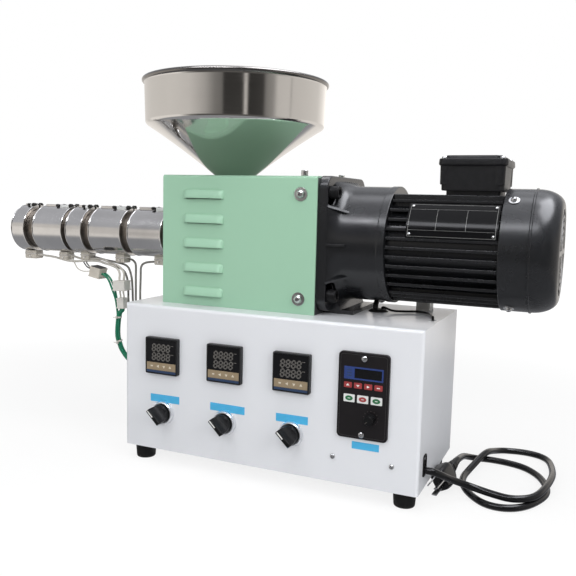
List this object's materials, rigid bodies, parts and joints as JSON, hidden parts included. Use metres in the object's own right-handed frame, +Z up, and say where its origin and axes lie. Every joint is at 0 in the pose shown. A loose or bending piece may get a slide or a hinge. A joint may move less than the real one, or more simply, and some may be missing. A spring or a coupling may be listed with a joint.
{
  "type": "desktop filament extruder",
  "caption": "Desktop filament extruder: hopper, heated barrel and gear motor on a control cabinet with temperature controllers and selector switches.",
  "frame": {"origin": "middle of the machine's footprint box, at the bottom of the feet", "axes": "+X along the barrel from the die towards the motor, +Y from the control panel to the back, +Z up"},
  "size_m": [0.8182, 0.293, 0.508],
  "materials": {
    "cabinet_paint": "white powder coat, satin",
    "foot_rubber": "moulded black rubber",
    "controller_plastic": "fine grained black plastic",
    "selector_metal": "bright plated ring",
    "knob_plastic": "black moulded plastic",
    "speed_face": "black face with printed keys",
    "cover_paint": "pale green enamel, satin",
    "fastener_steel": "stainless steel",
    "housing_iron": "painted casting",
    "drive_paint": "satin black paint over castings",
    "bolt_steel": "black oxide",
    "terminal_plastic": "black moulded plastic",
    "hopper_steel": "polished stainless sheet",
    "barrel_steel": "turned steel, darkened by heat",
    "band_steel": "stainless band",
    "terminal_ceramic": "unglazed ceramic",
    "wire_sleeve": "woven glass sleeve",
    "wire_green": "green insulation",
    "grommet_rubber": "black rubber",
    "lead_rubber": "black rubber sheath",
    "plug_plastic": "moulded black plug"
  },
  "bodies": {
    "root": {"cabinet_shell": "cabinet_paint", "cabinet_base": "cabinet_paint", "foot_front_left": "foot_rubber", "foot_front_right": "foot_rubber", "foot_back_left": "foot_rubber", "foot_back_right": "foot_rubber", "temperature_controller_1": "controller_plastic", "temperature_controller_2": "controller_plastic", "temperature_controller_3": "controller_plastic", "selector_bezel_1": "selector_metal", "selector_bezel_2": "selector_metal", "selector_bezel_3": "selector_metal", "speed_panel": "speed_face", "drive_cover": "cover_paint", "cover_screws": "fastener_steel", "bearing_housing": "housing_iron", "gear_case": "drive_paint", "motor_body": "drive_paint", "fan_cover": "drive_paint", "flange_bolts": "bolt_steel", "terminal_box": "terminal_plastic", "terminal_lid": "terminal_plastic", "hopper": "hopper_steel", "barrel": "barrel_steel", "feed_screw": "barrel_steel", "die_head": "barrel_steel", "heater_band_1": "band_steel", "heater_band_2": "band_steel", "heater_band_3": "band_steel", "heater_band_4": "band_steel", "heater_band_5": "band_steel", "band_terminals": "terminal_ceramic", "wire_connectors": "terminal_ceramic", "lead_block": "terminal_ceramic", "heater_wires": "wire_sleeve", "sensor_wires": "wire_green", "wire_grommet": "grommet_rubber", "lead_grommet": "grommet_rubber", "motor_lead": "lead_rubber", "power_cord": "lead_rubber", "power_plug": "plug_plastic", "cord_clamp": "plug_plastic"},
    "selector_knob_1": {"selector_knob_1": "knob_plastic"},
    "selector_knob_2": {"selector_knob_2": "knob_plastic"},
    "selector_knob_3": {"selector_knob_3": "knob_plastic"},
    "speed_knob": {"speed_knob": "knob_plastic"}
  },
  "joints": [
    {"name": "selector_knob_1_turn", "type": "hinge", "parent": "root", "child": "selector_knob_1", "pos_m": [-0.065, -0.10435, 0.071], "axis": [0, 1, 0], "range_deg": [0, 90]},
    {"name": "selector_knob_2_turn", "type": "hinge", "parent": "root", "child": "selector_knob_2", "pos_m": [0.0264, -0.10435, 0.071], "axis": [0, 1, 0], "range_deg": [0, 90]},
    {"name": "selector_knob_3_turn", "type": "hinge", "parent": "root", "child": "selector_knob_3", "pos_m": [0.1178, -0.10435, 0.071], "axis": [0, 1, 0], "range_deg": [0, 90]},
    {"name": "speed_knob_turn", "type": "hinge", "parent": "root", "child": "speed_knob", "pos_m": [0.2178, -0.10435, 0.105], "axis": [0, 1, 0], "range_deg": [0, 270]}
  ]
}
